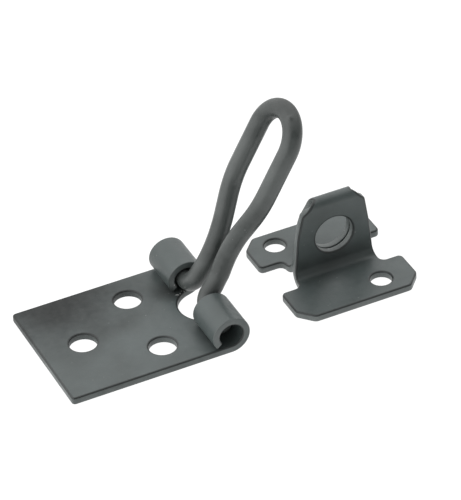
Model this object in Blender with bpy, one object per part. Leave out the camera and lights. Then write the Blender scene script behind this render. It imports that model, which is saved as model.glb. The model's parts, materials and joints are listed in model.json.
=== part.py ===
"""A wire hasp and staple: a rolled sheet-steel plate, a bent-wire loop that turns in it, and a folded staple.

Metres, +Z up. The origin is on the plate's underside, on its centre line between the screw holes. +X runs
from the plate towards the loop and the staple, and the loop turns about an axis along Y.
"""

import math

import bmesh
import bpy
from mathutils import Vector
from mathutils.geometry import delaunay_2d_cdt

# Driving dimensions
SHEET = 0.0019                  # thickness of both sheet pieces
WIRE_RADIUS = 0.00248

PLATE_WIDTH = 0.038
PLATE_REACH = 0.0425            # free edge to the knuckle axis
PLATE_CORNER = 0.0009
BORE_RADIUS = 0.0031
CURL_ANGLE = math.radians(220)  # how far the sheet is rolled round the bore
LIP_ANGLE = math.radians(90)    # a last stretch, rolled a little tighter
LIP_TIGHTENING = 0.0003
KNUCKLE_GAP = 0.0142            # clear width between the two knuckles
NOTCH_DEPTH = 0.0052            # how far the notch reaches past the axis into the plate
PLATE_HOLE_RADIUS = 0.0035
HOLE_PAIR = (-0.0148, 0.0105)   # behind the axis, and either side of the centre line
HOLE_SINGLE = -0.03145

LOOP_REACH = 0.0524             # axis to the middle of the wire at the tip
LOOP_TILT = math.radians(59.5)  # above horizontal
LOOP_SIDE_PLAY = 0.0010         # how far the loop has slid along its axis
EYE_HALF_WIDTH = 0.0077        # to the middle of the wire
# Rear and front leg: half widths at the foot, just above it and at the neck
LEGS = ((0.0032, 0.0032, 0.00257), (0.0043, 0.0039, 0.0030))
FOOT_END = 0.0155

STAPLE_X = 0.0365               # knuckle axis to the staple's middle
STAPLE_LENGTH = 0.0337
STAPLE_DEPTH = 0.0366           # over both flanges
STAPLE_HEIGHT = 0.0226
LAYER_GAP = 0.0004              # between the two layers of the tab
BEND_RADIUS = 0.0022            # inside the bends between tab and flanges
EAR_START = 0.0058              # middle plane to the inner edges of the flanges' ears
RELIEF_RADIUS = 0.0016          # between an ear and the tab
FLANGE_CHAMFER = (0.0036, 0.0040)
EAR_ROUNDING = 0.0013
# The tab's sides at its foot, partway up and at the shoulders, as (height, side at -X, side at +X). The fold is
# a little skewed, so the layers don't quite match.
FRONT_LAYER = ((0.0, -0.0114, 0.0114), (0.0130, -0.00985, 0.01005), (0.01975, -0.0082, 0.0091))
REAR_LAYER = ((0.0, -0.0107, 0.0117), (0.0095, -0.0089, 0.0109), (0.0164, -0.0080, 0.0100))
TAB_TOP = (-0.0041, 0.0060)
SIDE_ROUNDING = 0.025
SHOULDER_ROUNDINGS = (0.0012, 0.010)  # front and rear layer
PADLOCK_HOLE_RADIUS = 0.0052
PADLOCK_HOLE = (0.0003, 0.0115)   # off the staple's middle, and above its underside
STAPLE_HOLE_RADIUS = 0.00275
STAPLE_HOLES = ((0.0078, -0.0124), (-0.0093, 0.0129))  # from the staple's middle

# Where the origin and the hinge axis are
AXIS_X = -(HOLE_PAIR[0] + HOLE_SINGLE) / 2
AXIS_Z = SHEET + BORE_RADIUS

# Facets
BEND_STEP = math.radians(15)
HOLE_SIDES = 24
WIRE_BEVEL_RESOLUTION = 4       # 12 sides


def clear_scene():
    for obj in list(bpy.data.objects):
        bpy.data.objects.remove(obj)


def coated_steel(name, colour, roughness):
    material = bpy.data.materials.new(name)
    material.use_nodes = True
    shader = material.node_tree.nodes["Principled BSDF"]
    shader.inputs["Base Color"].default_value = (*colour, 1.0)
    shader.inputs["Roughness"].default_value = roughness
    shader.inputs["Metallic"].default_value = 0.25
    material.diffuse_color = (*colour, 1.0)
    return material


def arc(centre, radius, start, end, sides):
    """Points along an arc in a plane, both ends included."""
    angles = [start + (end - start) * step / sides for step in range(sides + 1)]
    return [Vector((centre[0] + radius * math.cos(a), centre[1] + radius * math.sin(a))) for a in angles]


def circle(centre, radius):
    return arc(centre, radius, 0.0, 2 * math.pi, HOLE_SIDES)[:-1]


def rounded(corners, radii, sides=4):
    """An open line in 2D or 3D: straight runs, with an arc of the given radius at each inner corner."""
    points = [corners[0]]
    for before, corner, after, radius in zip(corners, corners[1:], corners[2:], radii):
        back = (before - corner).normalized()
        ahead = (after - corner).normalized()
        half_angle = back.angle(ahead) / 2
        centre = corner + (back + ahead).normalized() * radius / math.sin(half_angle)
        first = corner + back * radius / math.tan(half_angle) - centre
        last = corner + ahead * radius / math.tan(half_angle) - centre
        turn = math.pi - 2 * half_angle
        for step in range(sides + 1):
            share = step / sides
            mix = first * math.sin((1 - share) * turn) + last * math.sin(share * turn)
            points.append(centre + mix / math.sin(turn))
    return points + [corners[-1]]


class SheetPath:
    """The middle line of a bent sheet seen from its edge, as runs of (length, turn), left turns positive."""

    def __init__(self, runs):
        self.runs = runs
        self.length = sum(length for length, turn in runs)

    def locate(self, distance):
        """Where the middle line is at this distance along it, and which way it heads."""
        forward = up = heading = 0.0
        for length, turn in self.runs:
            step = min(distance, length)
            if turn:
                radius = length / turn
                after = heading + step / radius
                forward += radius * (math.sin(after) - math.sin(heading))
                up -= radius * (math.cos(after) - math.cos(heading))
                heading = after
            else:
                forward += step * math.cos(heading)
                up += step * math.sin(heading)
            distance -= step
            if distance <= 0:
                break
        return forward, up, heading

    def bend_lines(self):
        """Distances at which the sheet is creased, so that each bend becomes narrow flat strips."""
        lines = []
        start = 0.0
        for length, turn in self.runs:
            if turn:
                strips = math.ceil(abs(turn) / BEND_STEP)
                lines += [start + length * strip / strips for strip in range(strips + 1)]
            start += length
        return [line for line in lines if line < self.length - 1e-6]


def inside(point, loop):
    """Whether a flat point lies inside a closed outline."""
    found = False
    for a, b in zip(loop, loop[1:] + loop[:1]):
        if (a.y > point.y) != (b.y > point.y):
            if point.x < a.x + (point.y - a.y) / (b.y - a.y) * (b.x - a.x):
                found = not found
    return found


def flat_blank(outline, holes, path):
    """Triangles of the flat blank: x across the sheet, y along its path, split at every bend line."""
    points, edges = [], []
    for loop in [outline, *holes]:
        start = len(points)
        points += loop
        edges += [(start + i, start + (i + 1) % len(loop)) for i in range(len(loop))]
    reach = 2 * max(abs(point.x) for point in outline)
    for line in path.bend_lines():
        points += [Vector((-reach, line)), Vector((reach, line))]
        edges.append((len(points) - 2, len(points) - 1))
    corners, _, faces, *_ = delaunay_2d_cdt(points, edges, [], 0, 1e-7)
    kept = []
    for face in faces:
        middle = sum((corners[i] for i in face), Vector((0, 0))) / len(face)
        if inside(middle, outline) and not any(inside(middle, hole) for hole in holes):
            kept.append(face)
    return corners, kept


def bent_sheet(name, outline, holes, path, place, material):
    """A closed solid of sheet metal, cut flat to the outline and bent along the path.

    place(across, forward, up) puts a point of the bent sheet into the object's own frame.
    """
    corners, faces = flat_blank(outline, holes, path)
    mesh = bmesh.new()
    layers = []
    for offset in (SHEET / 2, -SHEET / 2):
        layer = {}
        for index in sorted({i for face in faces for i in face}):
            forward, up, heading = path.locate(corners[index].y)
            forward -= offset * math.sin(heading)
            up += offset * math.cos(heading)
            layer[index] = mesh.verts.new(place(corners[index].x, forward, up))
        layers.append(layer)
    top, bottom = layers
    seen = {}
    for face in faces:
        mesh.faces.new([top[i] for i in face])
        mesh.faces.new([bottom[i] for i in reversed(face)])
        for a, b in zip(face, face[1:] + face[:1]):
            seen[frozenset((a, b))] = None if frozenset((a, b)) in seen else (a, b)
    for rim in filter(None, seen.values()):
        a, b = rim
        mesh.faces.new([top[b], top[a], bottom[a], bottom[b]])
    bmesh.ops.recalc_face_normals(mesh, faces=mesh.faces[:])
    data = bpy.data.meshes.new(name)
    mesh.to_mesh(data)
    mesh.free()
    data.materials.append(material)
    data.shade_smooth()
    data.set_sharp_from_angle(angle=math.radians(30))
    obj = bpy.data.objects.new(name, data)
    bpy.context.scene.collection.objects.link(obj)
    return obj


def hasp_plate(material):
    """The plate, with its end notched and the two tongues rolled up and back into open knuckles."""
    curl = BORE_RADIUS + SHEET / 2
    lip = curl - LIP_TIGHTENING
    path = SheetPath([(PLATE_REACH, 0.0), (curl * CURL_ANGLE, CURL_ANGLE), (lip * LIP_ANGLE, LIP_ANGLE)])
    half = PLATE_WIDTH / 2
    notch = KNUCKLE_GAP / 2
    notch_middle = PLATE_REACH - NOTCH_DEPTH + notch
    outline = rounded(
        [Vector(xy) for xy in ((half, path.length), (half, 0.0), (-half, 0.0), (-half, path.length))],
        [PLATE_CORNER, PLATE_CORNER],
    )
    outline.append(Vector((-notch, path.length)))
    outline += arc((0.0, notch_middle), notch, -math.pi, 0.0, 16)
    outline.append(Vector((notch, path.length)))
    holes = [circle((side * HOLE_PAIR[1], PLATE_REACH + HOLE_PAIR[0]), PLATE_HOLE_RADIUS) for side in (-1, 1)]
    holes.append(circle((0.0, PLATE_REACH + HOLE_SINGLE), PLATE_HOLE_RADIUS))

    def place(across, forward, up):
        return Vector((AXIS_X - PLATE_REACH + forward, across, up + SHEET / 2))

    return bent_sheet("hasp_plate", outline, holes, path, place, material)


def loop_line():
    """The middle line of the wire: local X up the loop, Y along the hinge axis, Z square to the loop."""
    eye_middle = LOOP_REACH - EYE_HALF_WIDTH
    legs = []
    for foot, elbow, neck in LEGS:
        corners = [
            Vector((0.0, FOOT_END, 0.0)),
            Vector((0.0, foot, 0.0)),
            Vector((0.0070, elbow, -0.0010)),
            Vector((0.0151, neck, -0.0004)),
            Vector((0.0290, EYE_HALF_WIDTH, 0.0)),
            Vector((eye_middle, EYE_HALF_WIDTH, 0.0)),
        ]
        legs.append(rounded(corners, [0.00275, 0.012, 0.028, 0.025], sides=5))
    rear, front = legs
    tip = arc((eye_middle, 0.0), EYE_HALF_WIDTH, math.pi / 2, -math.pi / 2, 14)
    front = [Vector((point.x, -point.y, point.z)) for point in reversed(front)]
    return rear + [Vector((*point, 0.0)) for point in tip[1:-1]] + front


def wire_loop(material):
    """One bent wire. Its two feet turn in the knuckles, and its origin is on their axis."""
    curve = bpy.data.curves.new("wire_loop", "CURVE")
    curve.dimensions = "3D"
    curve.bevel_depth = WIRE_RADIUS
    curve.bevel_resolution = WIRE_BEVEL_RESOLUTION
    curve.use_fill_caps = True
    line = loop_line()
    spline = curve.splines.new("POLY")
    spline.points.add(len(line) - 1)
    for point, place in zip(spline.points, line):
        point.co = (*place, 1.0)
    curve.materials.append(material)
    obj = bpy.data.objects.new("wire_loop", curve)
    obj.location = (AXIS_X, LOOP_SIDE_PLAY, AXIS_Z)
    obj.rotation_euler = (0.0, -LOOP_TILT, 0.0)
    bpy.context.scene.collection.objects.link(obj)
    return obj


def staple(material):
    """One blank folded double into the tab, with a flange bent out from each layer."""
    bend = BEND_RADIUS + SHEET / 2
    fold = (LAYER_GAP + SHEET) / 2
    flange_run = STAPLE_DEPTH / 2 - fold - bend
    tab_run = STAPLE_HEIGHT - SHEET / 2 - bend - fold - SHEET / 2
    quarter = math.pi / 2
    base = [(flange_run, 0.0), (bend * quarter, quarter), (tab_run, 0.0)]
    path = SheetPath([*base, (fold * math.pi, -math.pi), *[base[2], base[1], base[0]]])

    def along(height):
        """Distance along the path to this height on the front layer."""
        return flange_run + bend * quarter + height - SHEET / 2 - bend

    half = STAPLE_LENGTH / 2
    chamfer_x, chamfer_y = FLANGE_CHAMFER
    ear = STAPLE_DEPTH / 2 - EAR_START
    sides = []
    for side in (1, -1):
        layers = []
        for layer, shoulder_rounding in zip((FRONT_LAYER, REAR_LAYER), SHOULDER_ROUNDINGS):
            (_, *foot), (partway_height, *partway), (shoulder_height, *shoulder) = layer
            which = 1 if side > 0 else 0
            corners = [
                (side * (half - chamfer_x), 0.0),
                (side * half, chamfer_y),
                (side * half, ear),
                (foot[which], ear),
                (partway[which], along(partway_height)),
                (shoulder[which], along(shoulder_height)),
                (TAB_TOP[which], path.length / 2),
            ]
            radii = [EAR_ROUNDING, EAR_ROUNDING, RELIEF_RADIUS, SIDE_ROUNDING, shoulder_rounding]
            layers.append(rounded([Vector(corner) for corner in corners], radii))
        front, rear = layers
        rear = [Vector((point.x, path.length - point.y)) for point in reversed(rear[:-1])]
        sides.append(front + rear)
    outline = sides[0] + sides[1][::-1]

    holes = []
    for x, y in STAPLE_HOLES:
        distance = STAPLE_DEPTH / 2 - abs(y)
        holes.append(circle((x, distance if y < 0 else path.length - distance), STAPLE_HOLE_RADIUS))
    x, height = PADLOCK_HOLE
    holes.append(circle((x, along(height)), PADLOCK_HOLE_RADIUS))
    holes.append(circle((x, path.length - along(height)), PADLOCK_HOLE_RADIUS))

    def place(across, forward, up):
        return Vector((across, forward - STAPLE_DEPTH / 2, up + SHEET / 2))

    obj = bent_sheet("staple", outline, holes, path, place, material)
    obj.location = (AXIS_X + STAPLE_X, 0.0, 0.0)
    return obj


def main():
    clear_scene()
    hasp_plate(coated_steel("plate_coating", (0.085, 0.098, 0.098), 0.5))
    wire_loop(coated_steel("wire_coating", (0.075, 0.086, 0.085), 0.45))
    staple(coated_steel("staple_coating", (0.080, 0.093, 0.092), 0.5))


main()
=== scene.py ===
"""The looks of the wire hasp and staple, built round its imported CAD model."""
import json
import math

import bmesh
import bpy
from mathutils import Matrix, Vector
from mathutils.geometry import delaunay_2d_cdt


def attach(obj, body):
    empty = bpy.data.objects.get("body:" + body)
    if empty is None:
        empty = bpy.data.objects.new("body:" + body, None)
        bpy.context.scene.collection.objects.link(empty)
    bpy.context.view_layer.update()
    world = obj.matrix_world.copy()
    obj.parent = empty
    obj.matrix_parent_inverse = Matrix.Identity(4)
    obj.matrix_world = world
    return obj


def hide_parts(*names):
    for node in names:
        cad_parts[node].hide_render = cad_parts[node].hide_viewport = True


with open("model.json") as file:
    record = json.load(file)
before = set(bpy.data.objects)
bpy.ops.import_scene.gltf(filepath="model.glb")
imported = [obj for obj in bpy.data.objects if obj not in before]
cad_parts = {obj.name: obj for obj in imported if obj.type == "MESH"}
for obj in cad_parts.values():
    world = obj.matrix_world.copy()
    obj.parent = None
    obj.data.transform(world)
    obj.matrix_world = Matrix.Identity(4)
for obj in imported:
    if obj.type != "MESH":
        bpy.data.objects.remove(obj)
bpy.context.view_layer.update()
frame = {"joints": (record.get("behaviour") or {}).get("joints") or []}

# ---------------------------------------------------------------- sizes, in metres

# Both pressed pieces
SHEET = 0.0019
ROUND_TOP = 0.00045
ROUND_BOTTOM = 0.0002

# The plate and its knuckles
PLATE_WIDTH = 0.038
PLATE_REACH = 0.0425
PLATE_CORNER = 0.0009
TONGUE_CORNER = 0.0005
TONGUE_RUN = 0.003
BORE_RADIUS = 0.0031
CURL_ANGLE = math.radians(220)
LIP_ANGLE = math.radians(90)
LIP_TIGHTENING = 0.0003
KNUCKLE_GAP = 0.0142
NOTCH_DEPTH = 0.0052
PLATE_HOLE_RADIUS = 0.0035
HOLE_PAIR = (-0.0148, 0.0105)
HOLE_SINGLE = -0.03145

# The wire loop. Each leg is (foot, elbow, neck): how far out it is at its foot, just above it, and
# at the neck.
WIRE_RADIUS = 0.00248
LOOP_REACH = 0.0524
LOOP_TILT = math.radians(59.5)
LOOP_SIDE_PLAY = 0.0010
EYE_HALF_WIDTH = 0.0077
LEGS = ((0.0032, 0.0032, 0.00257), (0.0043, 0.0039, 0.0030))
LEG_BENDS = (0.00275, 0.012, 0.028, 0.025)
FOOT_END = 0.0155
FOOT_ROUNDING = 0.0006
ELBOW_UP, ELBOW_OUT = 0.0070, -0.0010
NECK_UP, NECK_OUT = 0.0151, -0.0004
EYE_START = 0.0290

# The staple. Each layer of the tab is (height, side at -X, side at +X) at its foot, partway up and
# at the shoulders. The fold is skewed, so the two layers differ.
STAPLE_X = 0.0365
STAPLE_LENGTH = 0.0337
STAPLE_DEPTH = 0.0366
STAPLE_HEIGHT = 0.0226
LAYER_GAP = 0.0004
BEND_RADIUS = 0.0022
EAR_START = 0.0058
RELIEF_RADIUS = 0.0016
FLANGE_CHAMFER = (0.0036, 0.0040)
CHAMFER_ROUNDING = 0.0018
FLANGE_END_RUN = 0.004
EAR_ROUNDING = 0.0013
FRONT_LAYER = (
    (0.0, -0.0114, 0.0114),
    (0.0130, -0.00985, 0.01005),
    (0.01975, -0.0082, 0.0091),
)
REAR_LAYER = (
    (0.0, -0.0107, 0.0117),
    (0.0095, -0.0089, 0.0109),
    (0.0164, -0.0080, 0.0100),
)
TAB_TOP = (-0.0041, 0.0060)
SIDE_ROUNDING = 0.025
SHOULDER_ROUNDINGS = (0.0012, 0.010)
PADLOCK_HOLE_RADIUS = 0.0052
PADLOCK_HOLE = (0.0003, 0.0115)
STAPLE_HOLE_RADIUS = 0.00275
STAPLE_HOLES = ((0.0078, -0.0124), (-0.0093, 0.0129))

AXIS = Vector(
    next(joint["pos_m"] for joint in frame["joints"] if joint["name"] == "loop_swing")
)

# Marks on the wire: (up the loop, across, out of its plane) of the spot, its width and its height
WIRE_MARKS = [
    ((0.0530, -0.0045, 0.0017), 0.00050, 0.00035),    # a dried drip on the tip
    ((0.0288, 0.0043, 0.0004), 0.0010, -0.00035),     # a dent from the bending tool
    ((0.0065, -0.0052, -0.0025), 0.0016, -0.00018),   # tool marks near the feet
    ((0.0080, 0.0052, -0.0022), 0.0014, -0.00012),
]

# Fineness of the finished meshes
OUTLINE_STEP = 0.0004
LONGEST_SIDE = 0.0006
FEWEST_ARC_SIDES = 3
SAME_POINT = 1e-8
SHARPEST_LEAN = 0.6
GRID_STEP = 0.0012
FACE_MARGIN = 0.00012
BEND_STEP = math.radians(5)
RIM_RINGS = 4
WIRE_STEP = 0.0004
WIRE_SIDES = 40

# The vertices' "rim" value, which says how far over its edge a point of a pressed sheet is
ON_FACE, AT_EDGE, ON_ROUNDING, FULLY_CUT, ON_CUT = 0.0, 0.3, 0.5, 0.95, 1.0


# ---------------------------------------------------------------- flat outlines

def arc(centre, radius, start, end):
    """Points along an arc in a plane, both ends included."""
    sides = max(FEWEST_ARC_SIDES, math.ceil(abs(end - start) * radius / OUTLINE_STEP))
    points = []
    for step in range(sides + 1):
        angle = start + (end - start) * step / sides
        points.append(
            Vector((centre[0] + radius * math.cos(angle), centre[1] + radius * math.sin(angle)))
        )
    return points


def circle(centre, radius):
    return arc(centre, radius, 0.0, 2 * math.pi)[:-1]


def rounded(corners, radii):
    """An open line of straight runs, in 2 or 3 dimensions, each inner corner rounded to its radius."""
    points = [corners[0]]
    for before, corner, after, radius in zip(corners, corners[1:], corners[2:], radii):
        back = (before - corner).normalized()
        ahead = (after - corner).normalized()
        half_angle = back.angle(ahead) / 2
        centre = corner + (back + ahead).normalized() * radius / math.sin(half_angle)
        first = corner + back * radius / math.tan(half_angle) - centre
        last = corner + ahead * radius / math.tan(half_angle) - centre
        turn = math.pi - 2 * half_angle
        sides = max(FEWEST_ARC_SIDES, math.ceil(turn * radius / OUTLINE_STEP))
        for step in range(sides + 1):
            share = step / sides
            mix = first * math.sin((1 - share) * turn) + last * math.sin(share * turn)
            points.append(centre + mix / math.sin(turn))
    return points + [corners[-1]]


def evenly(points, step, closed):
    """The same line with its long stretches split, so that no two neighbours are over a step apart."""
    ends = points + [points[0]] if closed else points
    found = []
    for a, b in zip(ends, ends[1:]):
        parts = max(1, math.ceil((b - a).length / step))
        found += [a.lerp(b, part / parts) for part in range(parts)]
    return found if closed else found + [points[-1]]


def area(loop):
    return sum(a.x * b.y - b.x * a.y for a, b in zip(loop, loop[1:] + loop[:1])) / 2


def inward(loop):
    """Each point's direction into the metal, for an outline that keeps the metal on its left."""
    found = []
    for before, point, after in zip(loop[-1:] + loop[:-1], loop, loop[1:] + loop[:1]):
        a = (point - before).normalized()
        b = (after - point).normalized()
        normal = Vector((-a.y - b.y, a.x + b.x)).normalized()
        lean = max(SHARPEST_LEAN, normal.dot(Vector((-a.y, a.x))))
        found.append(normal / lean)
    return found


def inside(point, loop):
    found = False
    for a, b in zip(loop, loop[1:] + loop[:1]):
        if (a.y > point.y) != (b.y > point.y):
            if point.x < a.x + (point.y - a.y) / (b.y - a.y) * (b.x - a.x):
                found = not found
    return found


def linked(name, mesh):
    """An object in the scene for this mesh."""
    obj = bpy.data.objects.new(name, mesh)
    bpy.context.scene.collection.objects.link(obj)
    return obj


# ---------------------------------------------------------------- sheet metal

class SheetPath:
    """The middle line of a bent sheet seen from its edge, in runs of (length, turn). Left is positive."""

    def __init__(self, runs):
        self.runs = runs
        self.length = sum(length for length, turn in runs)

    def locate(self, distance):
        """Where the middle line is at this distance along it, and which way it heads."""
        forward = up = heading = 0.0
        for length, turn in self.runs:
            step = min(distance, length)
            if turn:
                radius = length / turn
                after = heading + step / radius
                forward += radius * (math.sin(after) - math.sin(heading))
                up -= radius * (math.cos(after) - math.cos(heading))
                heading = after
            else:
                forward += step * math.cos(heading)
                up += step * math.sin(heading)
            distance -= step
            if distance <= 0:
                break
        return forward, up, heading

    def rows(self):
        """Distances of the cross lines that the mesh follows: close in the bends, wide on the flats."""
        found = []
        start = 0.0
        for length, turn in self.runs:
            wanted = math.ceil(abs(turn) / BEND_STEP) if turn else round(length / GRID_STEP)
            parts = max(1, wanted)
            found += [start + length * part / parts for part in range(parts)]
            start += length
        return found[1:]


def rim_profile():
    """Rings from the top face to the bottom face, as (distance in from the outline, height, rim)."""
    top, bottom = SHEET / 2, -SHEET / 2
    angles = [math.pi / 2 * ring / RIM_RINGS for ring in range(RIM_RINGS + 1)]
    rings = []
    for ring, angle in enumerate(angles):
        rim = ON_CUT if ring == RIM_RINGS else ON_ROUNDING if ring else AT_EDGE
        rings.append(
            (ROUND_TOP * (1 - math.sin(angle)), top - ROUND_TOP * (1 - math.cos(angle)), rim)
        )
    for angle in angles:
        rings.append((
            ROUND_BOTTOM * (1 - math.cos(angle)),
            bottom + ROUND_BOTTOM * (1 - math.sin(angle)),
            ON_CUT,
        ))
    return rings


def face_triangles(loops, path):
    """The triangles inside the first loop and outside the others, and where each loop's points went."""
    points, edges = [], []
    starts = []
    for loop in loops:
        start = len(points)
        starts.append(start)
        points += loop
        edges += [(start + i, start + (i + 1) % len(loop)) for i in range(len(loop))]
    xs = [point.x for point in loops[0]]
    columns = max(2, round((max(xs) - min(xs)) / GRID_STEP))
    for row in path.rows():
        for column in range(1, columns):
            points.append(Vector((min(xs) + (max(xs) - min(xs)) * column / columns, row)))
    corners, _, faces, origin, *_ = delaunay_2d_cdt(points, edges, [], 0, SAME_POINT)
    became = {}
    for corner, sources in enumerate(origin):
        for source in sources:
            became[source] = corner
    kept = []
    for face in faces:
        middle = sum((corners[i] for i in face), Vector((0, 0))) / len(face)
        if inside(middle, loops[0]) and not any(inside(middle, hole) for hole in loops[1:]):
            kept.append(face)
    rings = [[became[start + i] for i in range(len(loop))] for start, loop in zip(starts, loops)]
    return corners, kept, rings


def pressed_sheet(name, outline, holes, path, place):
    """A bent sheet with rounded edges, as one closed mesh: a top face, a rim in rings, a bottom face."""
    loops = []
    for loop in [outline, *holes]:
        loop = evenly(loop, LONGEST_SIDE, closed=True)
        wanted = 1 if not loops else -1
        loops.append(loop if area(loop) * wanted > 0 else loop[::-1])
    ways = [inward(loop) for loop in loops]
    mesh = bmesh.new()
    rim_layer = mesh.verts.layers.float.new("rim")

    def vertex(point, height, rim):
        forward, up, heading = path.locate(point.y)
        forward -= height * math.sin(heading)
        up += height * math.cos(heading)
        vert = mesh.verts.new(place(point.x, forward, up))
        vert[rim_layer] = rim
        return vert

    def shrunk(distance):
        return [
            [point + way * distance for point, way in zip(loop, loop_ways)]
            for loop, loop_ways in zip(loops, ways)
        ]

    def ring(distance, height, rim):
        return [[vertex(point, height, rim) for point in loop] for loop in shrunk(distance)]

    profile = rim_profile()
    rings = [ring(*place_and_rim) for place_and_rim in profile[1:-1]]
    for top in (True, False):
        distance, height, rim = profile[0 if top else -1]
        edge = ring(distance, height, rim)
        corners, faces, found = face_triangles(shrunk(distance + FACE_MARGIN), path)
        used = sorted({i for face in faces for i in face})
        verts = {i: vertex(corners[i], height, ON_FACE) for i in used}
        for face in faces:
            mesh.faces.new([verts[i] for i in (face if top else reversed(face))])
        flat = [[verts[i] for i in face_ring] for face_ring in found]
        rings = [flat, edge] + rings if top else rings + [edge, flat]
    for upper, lower in zip(rings, rings[1:]):
        for a, b in zip(upper, lower):
            for i in range(len(a)):
                j = (i + 1) % len(a)
                mesh.faces.new(list(dict.fromkeys([a[j], a[i], b[i], b[j]])))
    bmesh.ops.recalc_face_normals(mesh, faces=mesh.faces[:])
    for face in mesh.faces:
        face.smooth = True
    data = bpy.data.meshes.new(name)
    mesh.to_mesh(data)
    mesh.free()
    return linked(name, data)


def plate_mesh():
    """The plate, with its end notched and the two tongues rolled up and back into open knuckles."""
    curl = BORE_RADIUS + SHEET / 2
    lip = curl - LIP_TIGHTENING
    path = SheetPath(
        [(PLATE_REACH, 0.0), (curl * CURL_ANGLE, CURL_ANGLE), (lip * LIP_ANGLE, LIP_ANGLE)]
    )
    half = PLATE_WIDTH / 2
    notch = KNUCKLE_GAP / 2
    notch_middle = PLATE_REACH - NOTCH_DEPTH + notch
    straight_end = path.length - TONGUE_RUN
    tongue_corners = (
        (half, straight_end), (half, path.length), (notch, path.length), (notch, notch_middle),
    )
    tongue = rounded([Vector(corner) for corner in tongue_corners], [TONGUE_CORNER] * 2)
    other_tongue = [Vector((-point.x, point.y)) for point in reversed(tongue)]
    end_corners = ((-half, straight_end), (-half, 0.0), (half, 0.0), (half, straight_end))
    free_end = rounded([Vector(corner) for corner in end_corners], [PLATE_CORNER] * 2)
    notch_arc = arc((0.0, notch_middle), notch, 0.0, -math.pi)
    outline = tongue[:-1] + notch_arc + other_tongue[1:] + free_end[1:-1]

    pair_along, pair_across = HOLE_PAIR
    centres = [(side * pair_across, PLATE_REACH + pair_along) for side in (-1, 1)]
    centres.append((0.0, PLATE_REACH + HOLE_SINGLE))
    holes = [circle(centre, PLATE_HOLE_RADIUS) for centre in centres]

    def place(across, forward, up):
        return Vector((AXIS.x - PLATE_REACH + forward, across, up + SHEET / 2))

    return pressed_sheet("hasp_plate_finished", outline, holes, path, place)


def staple_mesh():
    """One blank folded double into the tab, with a flange bent out from each layer."""
    bend = BEND_RADIUS + SHEET / 2
    fold = (LAYER_GAP + SHEET) / 2
    flange_run = STAPLE_DEPTH / 2 - fold - bend
    tab_run = STAPLE_HEIGHT - SHEET / 2 - bend - fold - SHEET / 2
    quarter = math.pi / 2
    flange, corner, tab = (flange_run, 0.0), (bend * quarter, quarter), (tab_run, 0.0)
    path = SheetPath([flange, corner, tab, (fold * math.pi, -math.pi), tab, corner, flange])

    def along(height):
        """Distance along the path to this height on the front layer."""
        return flange_run + bend * quarter + height - SHEET / 2 - bend

    half = STAPLE_LENGTH / 2
    chamfer_x, chamfer_y = FLANGE_CHAMFER
    ear = STAPLE_DEPTH / 2 - EAR_START
    sides = []
    for side in (1, -1):
        layers = []
        for layer, shoulder_rounding in zip((FRONT_LAYER, REAR_LAYER), SHOULDER_ROUNDINGS):
            (_, *foot), (partway_height, *partway), (shoulder_height, *shoulder) = layer
            which = 1 if side > 0 else 0
            corners = [
                (side * (half - chamfer_x - FLANGE_END_RUN), 0.0),
                (side * (half - chamfer_x), 0.0),
                (side * half, chamfer_y),
                (side * half, ear),
                (foot[which], ear),
                (partway[which], along(partway_height)),
                (shoulder[which], along(shoulder_height)),
                (TAB_TOP[which], path.length / 2),
            ]
            radii = [
                CHAMFER_ROUNDING, CHAMFER_ROUNDING, EAR_ROUNDING, RELIEF_RADIUS, SIDE_ROUNDING,
                shoulder_rounding,
            ]
            layers.append(rounded([Vector(corner) for corner in corners], radii))
        front, rear = layers
        rear = [Vector((point.x, path.length - point.y)) for point in reversed(rear[:-1])]
        sides.append(front + rear)
    outline = sides[0] + sides[1][::-1]

    holes = []
    for x, y in STAPLE_HOLES:
        distance = STAPLE_DEPTH / 2 - abs(y)
        holes.append(circle((x, distance if y < 0 else path.length - distance), STAPLE_HOLE_RADIUS))
    x, height = PADLOCK_HOLE
    for distance in (along(height), path.length - along(height)):
        holes.append(circle((x, distance), PADLOCK_HOLE_RADIUS))

    def place(across, forward, up):
        return Vector((AXIS.x + STAPLE_X + across, forward - STAPLE_DEPTH / 2, up + SHEET / 2))

    return pressed_sheet("staple_finished", outline, holes, path, place)


# ---------------------------------------------------------------- bent wire

def loop_line():
    """The middle line of the wire. X runs up the loop, Y along the hinge axis, Z square to the loop."""
    eye_middle = LOOP_REACH - EYE_HALF_WIDTH
    legs = []
    for foot, elbow, neck in LEGS:
        corners = (
            (0.0, FOOT_END, 0.0),
            (0.0, foot, 0.0),
            (ELBOW_UP, elbow, ELBOW_OUT),
            (NECK_UP, neck, NECK_OUT),
            (EYE_START, EYE_HALF_WIDTH, 0.0),
            (eye_middle, EYE_HALF_WIDTH, 0.0),
        )
        legs.append(rounded([Vector(corner) for corner in corners], LEG_BENDS))
    rear, front = legs
    tip = arc((eye_middle, 0.0), EYE_HALF_WIDTH, math.pi / 2, -math.pi / 2)
    tip = [Vector((*point, 0.0)) for point in tip[1:-1]]
    front = [Vector((point.x, -point.y, point.z)) for point in reversed(front)]
    return evenly(rear + tip + front, WIRE_STEP, closed=False)


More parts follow.
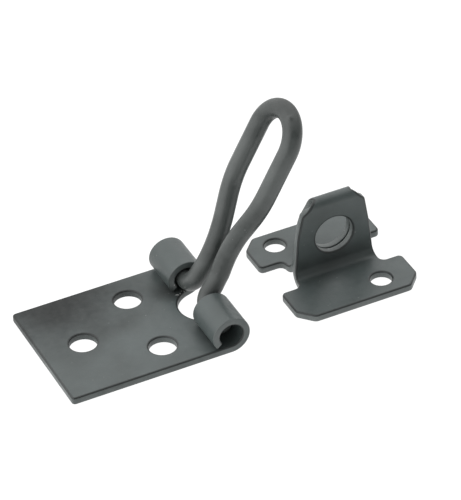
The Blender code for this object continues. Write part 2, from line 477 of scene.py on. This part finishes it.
def wire_mesh():
    """The wire as a swept tube with rounded ends, and the small marks left by bending and coating."""
    line = loop_line()
    mesh = bmesh.new()
    rim_layer = mesh.verts.layers.float.new("rim")
    heading = (line[1] - line[0]).normalized()
    side = heading.orthogonal().normalized()
    rings = []
    for index, point in enumerate(line):
        ahead = (line[min(index + 1, len(line) - 1)] - line[max(index - 1, 0)]).normalized()
        side = (heading.rotation_difference(ahead) @ side).normalized()
        side = (side - ahead * side.dot(ahead)).normalized()
        heading = ahead
        up = heading.cross(side)
        from_end = min(index, len(line) - 1 - index) * WIRE_STEP
        radius = WIRE_RADIUS
        if from_end < FOOT_ROUNDING:
            radius -= FOOT_ROUNDING - math.sqrt(FOOT_ROUNDING ** 2 - (FOOT_ROUNDING - from_end) ** 2)
        ring = []
        for step in range(WIRE_SIDES):
            angle = 2 * math.pi * step / WIRE_SIDES
            out = side * math.cos(angle) + up * math.sin(angle)
            spot = point + out * radius
            for where, width, height in WIRE_MARKS:
                spot = spot + out * height * math.exp(-((spot - Vector(where)).length / width) ** 2)
            vert = mesh.verts.new(spot)
            vert[rim_layer] = max(0.0, 1.0 - from_end / FOOT_ROUNDING)
            ring.append(vert)
        rings.append(ring)
    for a, b in zip(rings, rings[1:]):
        for i in range(WIRE_SIDES):
            j = (i + 1) % WIRE_SIDES
            mesh.faces.new([a[i], a[j], b[j], b[i]])
    mesh.faces.new(rings[0][::-1])
    mesh.faces.new(rings[-1])
    bmesh.ops.recalc_face_normals(mesh, faces=mesh.faces[:])
    for face in mesh.faces:
        face.smooth = len(face.verts) == 4
    moved = Matrix.Translation(AXIS + Vector((0.0, LOOP_SIDE_PLAY, 0.0)))
    mesh.transform(moved @ Matrix.Rotation(-LOOP_TILT, 4, "Y"))
    data = bpy.data.meshes.new("wire_loop_finished")
    mesh.to_mesh(data)
    mesh.free()
    return linked("wire_loop_finished", data)


# ---------------------------------------------------------------- materials

# Colours of each coating, as (dark, light, cut edge), then its roughness and how far its cut edges show,
# lighter partly from worn coating and partly as a painted highlight
SHEET_COLOURS = ((0.047, 0.059, 0.057), (0.066, 0.082, 0.081), (0.185, 0.20, 0.195))
SHEET_ROUGHNESS = 0.40
PLATE_CUT_WEAR_AND_HIGHLIGHT = 0.22
STAPLE_CUT_WEAR_AND_HIGHLIGHT = 0.34
WIRE_COLOURS = ((0.033, 0.039, 0.037), (0.079, 0.088, 0.085), (0.14, 0.15, 0.15))
WIRE_ROUGHNESS = 0.34
WIRE_CUT_WEAR_AND_HIGHLIGHT = 0.1
# The colour of the painted shade, on the rounded edges and in the patches below
PAINTED_SHADE_COLOUR = (0.006, 0.007, 0.0065)
DUST_COLOUR = (0.40, 0.41, 0.40)

# Noises, as (size of the grain in metres, detail, value that counts as 0, value that counts as 1)
CLOUDS = (0.011, 3.0, 0.35, 0.65)
GRAIN = (0.0016, 4.0, 0.3, 0.7)
SPECKS = (0.0009, 1.0, 0.76, 0.79)
CUT_TONE = (0.004, 2.0, 0.3, 0.7)
RAGGED = (0.009, 3.0, 0.3, 0.7)
DUST = (0.0008, 1.0, 0.68, 0.75)

# Bumps, as (size of the grain in metres, detail, height in metres)
ORANGE_PEEL = (0.0007, 2.0, 0.000018)
WAVES = (0.006, 1.0, 0.00012)

# How strongly each layer shows
GRAIN_SHARE = 0.35
SPECK_SHARE = 0.6
# How dark the painted shade on the rounded edges gets
EDGE_SHADE_SHARE = 0.75
CUT_SHARE_SPREAD = 0.15
SMOOTHER, ROUGHER = 0.05, 0.07
# Roughness added in the patches of painted shade
PAINTED_SHADE_ROUGHNESS = 0.35
RAGGEDNESS = 0.12

# Where shade is painted on the pieces: its middle, its reach along each axis, and its depth of tone
PLATE_PAINTED_SHADE = [
    # Painted shade: the plate darker towards its back left, in place of a fall-off in the light
    ((-0.0085, 0.0175, 0.0019), (0.034, 0.028, 0.012), 0.88),
    # Painted shade in the crease where the rear knuckle's lip meets the plate
    ((0.0190, 0.0090, 0.0017), (0.0065, 0.0065, 0.0035), 0.7),
    # Painted shade along the crease where the front knuckle's lip meets the plate
    ((0.0190, -0.0130, 0.0015), (0.0045, 0.0110, 0.0030), 0.45),
]
WIRE_PAINTED_SHADE = [
    # Painted shade on the top of the tip, dimming its reflection
    ((AXIS.x + 0.0266, 0.0010, 0.0520), (0.012, 0.014, 0.010), 0.5),
    # Painted shade on the wire's feet, where they leave the rear and the front knuckle
    ((AXIS.x + 0.0020, 0.0050, 0.0070), (0.006, 0.005, 0.006), 0.45),
    ((AXIS.x + 0.0020, -0.0050, 0.0070), (0.006, 0.005, 0.006), 0.4),
]
STAPLE_PAINTED_SHADE = [
    # Painted shade along the front bend at the foot of the tab
    ((AXIS.x + STAPLE_X, -0.0030, 0.0040), (0.015, 0.0050, 0.0050), 0.45),
    # Painted shade on the rear flange beside the foot of the tab
    ((AXIS.x + STAPLE_X - 0.002, 0.0080, 0.0019), (0.010, 0.008, 0.004), 0.35),
]

# Where dust has gathered: its middle, and its reach along each axis
KNUCKLE_DUST = ((0.0205, 0.0065, 0.0030), (0.0050, 0.0050, 0.0065))


class Nodes:
    """Adds and joins the nodes of one tree. An input takes a plain value or another node's socket."""

    def __init__(self, tree, coordinates):
        self.tree = tree
        self.place = tree.nodes.new("ShaderNodeTexCoord").outputs[coordinates]

    def feed(self, socket, source):
        if isinstance(source, bpy.types.NodeSocket):
            self.tree.links.new(source, socket)
        else:
            socket.default_value = source

    def arithmetic(self, operation, *sources):
        node = self.tree.nodes.new("ShaderNodeMath")
        node.operation = operation
        for socket, source in zip(node.inputs, sources):
            self.feed(socket, source)
        return node.outputs["Value"]

    def vector(self, operation, output, *sources):
        node = self.tree.nodes.new("ShaderNodeVectorMath")
        node.operation = operation
        for socket, source in zip(node.inputs, sources):
            self.feed(socket, source)
        return node.outputs[output]

    def noise(self, size, detail):
        """Noise whose grain is about size metres across."""
        node = self.tree.nodes.new("ShaderNodeTexNoise")
        node.inputs["Scale"].default_value = 1.0 / size
        node.inputs["Detail"].default_value = detail
        self.feed(node.inputs["Vector"], self.place)
        return node.outputs["Fac"]

    def spread(self, source, low, high, to_low=0.0, to_high=1.0, soft=False):
        """Takes the source's range from low to high to another range, and holds it beyond its ends."""
        node = self.tree.nodes.new("ShaderNodeMapRange")
        if soft:
            node.interpolation_type = "SMOOTHSTEP"
        ends = {"From Min": low, "From Max": high, "To Min": to_low, "To Max": to_high}
        for name, value in ends.items():
            node.inputs[name].default_value = value
        self.feed(node.inputs["Value"], source)
        return node.outputs["Result"]

    def pattern(self, noise, to_low=0.0, to_high=1.0):
        size, detail, low, high = noise
        return self.spread(self.noise(size, detail), low, high, to_low, to_high)

    def blend(self, share, first, second):
        """Mixes two colours, each a socket or a tuple, by a share."""
        node = self.tree.nodes.new("ShaderNodeMix")
        node.data_type = "RGBA"
        self.feed(node.inputs["Factor"], share)
        for socket, colour in ((node.inputs[6], first), (node.inputs[7], second)):
            self.feed(socket, (*colour, 1.0) if isinstance(colour, tuple) else colour)
        return node.outputs[2]

    def bump(self, relief, under=None):
        size, detail, height = relief
        node = self.tree.nodes.new("ShaderNodeBump")
        node.inputs["Distance"].default_value = height
        node.inputs["Strength"].default_value = 1.0
        self.feed(node.inputs["Height"], self.noise(size, detail))
        if under:
            self.feed(node.inputs["Normal"], under)
        return node.outputs["Normal"]

    def attribute(self, name):
        node = self.tree.nodes.new("ShaderNodeAttribute")
        node.attribute_name = name
        return node.outputs["Fac"]

    def patch(self, middle, reach):
        """A spot with a soft, ragged edge: 1 at its middle and 0 beyond its reach along each axis."""
        offset = self.vector("SUBTRACT", "Vector", self.place, middle)
        distance = self.vector("LENGTH", "Value", self.vector("DIVIDE", "Vector", offset, reach))
        ragged = self.arithmetic("ADD", distance, self.pattern(RAGGED, -RAGGEDNESS, RAGGEDNESS))
        return self.spread(ragged, 0.0, 1.0, 1.0, 0.0, soft=True)


def coating(name, dark, light, edge, roughness, cut_wear_and_highlight, painted_shades, dusty=None):
    """A thin satin coating: mottled, with orange peel and specks, painted shade on its rounded edges, cut
    edges lighter from worn coating and a painted highlight, and patches of painted shade.
    """
    material = bpy.data.materials.new(name)
    material.use_nodes = True
    shader = material.node_tree.nodes["Principled BSDF"]
    made = Nodes(material.node_tree, "Object")
    grain = made.pattern(GRAIN)
    tone = made.blend(made.pattern(CLOUDS), dark, light)
    fine = made.blend(made.spread(grain, 0.0, 1.0, 0.0, GRAIN_SHARE), tone, light)
    speckled = made.blend(made.pattern(SPECKS, 0.0, SPECK_SHARE), fine, edge)
    rim = made.attribute("rim")
    # Painted shade on the rounded edges, growing from the face onto the rounding
    edge_shade_share = made.spread(rim, ON_FACE, ON_ROUNDING, 0.0, EDGE_SHADE_SHARE)
    edge_shaded = made.blend(edge_shade_share, speckled, PAINTED_SHADE_COLOUR)
    # Cut edges lighter: partly worn coating, partly a painted highlight
    cut_range = (cut_wear_and_highlight - CUT_SHARE_SPREAD, cut_wear_and_highlight + CUT_SHARE_SPREAD)
    worn_and_highlit_cut = made.blend(made.pattern(CUT_TONE, *cut_range), speckled, edge)
    colour = made.blend(made.spread(rim, ON_ROUNDING, FULLY_CUT), edge_shaded, worn_and_highlit_cut)
    rough = made.spread(grain, 0.0, 1.0, roughness - SMOOTHER, roughness + ROUGHER)
    # Patches of painted shade, darker and rougher towards their middles
    for middle, reach, depth in painted_shades:
        share = made.spread(made.patch(middle, reach), 0.0, 1.0, 0.0, depth)
        colour = made.blend(share, colour, PAINTED_SHADE_COLOUR)
        rough = made.arithmetic("MULTIPLY_ADD", share, PAINTED_SHADE_ROUGHNESS, rough)
    if dusty:
        dust_share = made.arithmetic("MULTIPLY", made.patch(*dusty), made.pattern(DUST))
        colour = made.blend(dust_share, colour, DUST_COLOUR)
    made.feed(shader.inputs["Base Color"], colour)
    made.feed(shader.inputs["Roughness"], rough)
    made.feed(shader.inputs["Normal"], made.bump(WAVES, under=made.bump(ORANGE_PEEL)))
    shader.inputs["Metallic"].default_value = 0.0
    shader.inputs["IOR"].default_value = 1.5
    return material


def finish_piece(obj, material, body, node):
    obj.data.materials.append(material)
    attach(obj, body)
    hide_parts(node)


# ---------------------------------------------------------------- stage, light and camera

FLOOR_HALF = 3.0
FLOOR_LEVEL = -0.00002

# Soft boxes round the piece: (towards, outer and inner edge as cosines, brightness)
SOFT_BOXES = [
    ((0.10, 0.60, 0.80), 0.30, 0.95, 1.6),
    ((-0.95, 0.05, 0.30), 0.50, 0.95, 1.75),
    ((0.85, 0.10, 0.35), 0.60, 0.95, 0.5),
    ((0.10, -0.98, 0.02), 0.50, 0.95, 0.40),
]
ROOM = 0.06

# Which way the camera looks, and how far right, up and back it is from the foot of the hinge axis
CAMERA_AZIMUTH = math.radians(-23.534)
CAMERA_ELEVATION = math.radians(36.812)
CAMERA_ROLL = math.radians(-3.335)
CAMERA_RIGHT, CAMERA_UP, CAMERA_BACK = 0.007663, 0.014969, 0.884441
LENS_MM = 256.8
SENSOR_MM = 36.0
CLIP_START = 0.01


def floor():
    """A plain floor that glows evenly, so that it is white all over and lights the piece from below."""
    mesh = bpy.data.meshes.new("floor")
    signs = ((-1, -1), (1, -1), (1, 1), (-1, 1))
    corners = [(x * FLOOR_HALF, y * FLOOR_HALF, FLOOR_LEVEL) for x, y in signs]
    mesh.from_pydata(corners, [], [(0, 1, 2, 3)])
    obj = linked("floor", mesh)
    material = bpy.data.materials.new("floor_pale")
    material.use_nodes = True
    shader = material.node_tree.nodes["Principled BSDF"]
    shader.inputs["Base Color"].default_value = (0.1, 0.1, 0.1, 1.0)
    shader.inputs["Roughness"].default_value = 0.9
    shader.inputs["Specular IOR Level"].default_value = 0.0
    shader.inputs["Emission Color"].default_value = (1.0, 1.0, 1.0, 1.0)
    shader.inputs["Emission Strength"].default_value = 1.0
    mesh.materials.append(material)


def lights():
    """A dim room with soft boxes: a large one above and behind, one each side, a weak one in front."""
    world = bpy.data.worlds.new("studio")
    world.use_nodes = True
    made = Nodes(world.node_tree, "Generated")
    total = ROOM
    for towards, outer_edge, inner_edge, brightness in SOFT_BOXES:
        along = made.vector("DOT_PRODUCT", "Value", made.place, Vector(towards).normalized())
        box = made.spread(along, outer_edge, inner_edge, 0.0, brightness, soft=True)
        total = made.arithmetic("ADD", box, total)
    background = world.node_tree.nodes["Background"]
    made.feed(background.inputs["Strength"], total)
    background.inputs["Color"].default_value = (1.0, 1.0, 1.0, 1.0)
    bpy.context.scene.world = world
    bpy.context.scene.view_settings.view_transform = "Standard"


def camera():
    """A long lens from the front left, looking down."""
    level = math.cos(CAMERA_ELEVATION)
    back = Vector((
        math.sin(CAMERA_AZIMUTH) * level,
        -math.cos(CAMERA_AZIMUTH) * level,
        math.sin(CAMERA_ELEVATION),
    ))
    level_right = Vector((math.cos(CAMERA_AZIMUTH), math.sin(CAMERA_AZIMUTH), 0.0))
    level_up = back.cross(level_right)
    right = level_right * math.cos(CAMERA_ROLL) + level_up * math.sin(CAMERA_ROLL)
    up = level_up * math.cos(CAMERA_ROLL) - level_right * math.sin(CAMERA_ROLL)
    data = bpy.data.cameras.new("camera")
    data.lens = LENS_MM
    data.sensor_width = SENSOR_MM
    data.clip_start = CLIP_START
    obj = linked("camera", data)
    foot = Vector((AXIS.x, 0.0, 0.0))
    place = foot + right * CAMERA_RIGHT + up * CAMERA_UP + back * CAMERA_BACK
    turned = Matrix((right, up, back)).transposed().to_4x4()
    obj.matrix_world = Matrix.Translation(place) @ turned
    bpy.context.scene.camera = obj


plate_coat = coating(
    "plate_coat", *SHEET_COLOURS, SHEET_ROUGHNESS, PLATE_CUT_WEAR_AND_HIGHLIGHT, PLATE_PAINTED_SHADE, KNUCKLE_DUST
)
wire_coat = coating(
    "wire_coat", *WIRE_COLOURS, WIRE_ROUGHNESS, WIRE_CUT_WEAR_AND_HIGHLIGHT, WIRE_PAINTED_SHADE, KNUCKLE_DUST
)
staple_coat = coating(
    "staple_coat", *SHEET_COLOURS, SHEET_ROUGHNESS, STAPLE_CUT_WEAR_AND_HIGHLIGHT, STAPLE_PAINTED_SHADE
)
finish_piece(plate_mesh(), plate_coat, "hasp", "hasp_plate")
finish_piece(wire_mesh(), wire_coat, "loop", "wire_loop")
finish_piece(staple_mesh(), staple_coat, "staple_body", "staple")
floor()
lights()
camera()
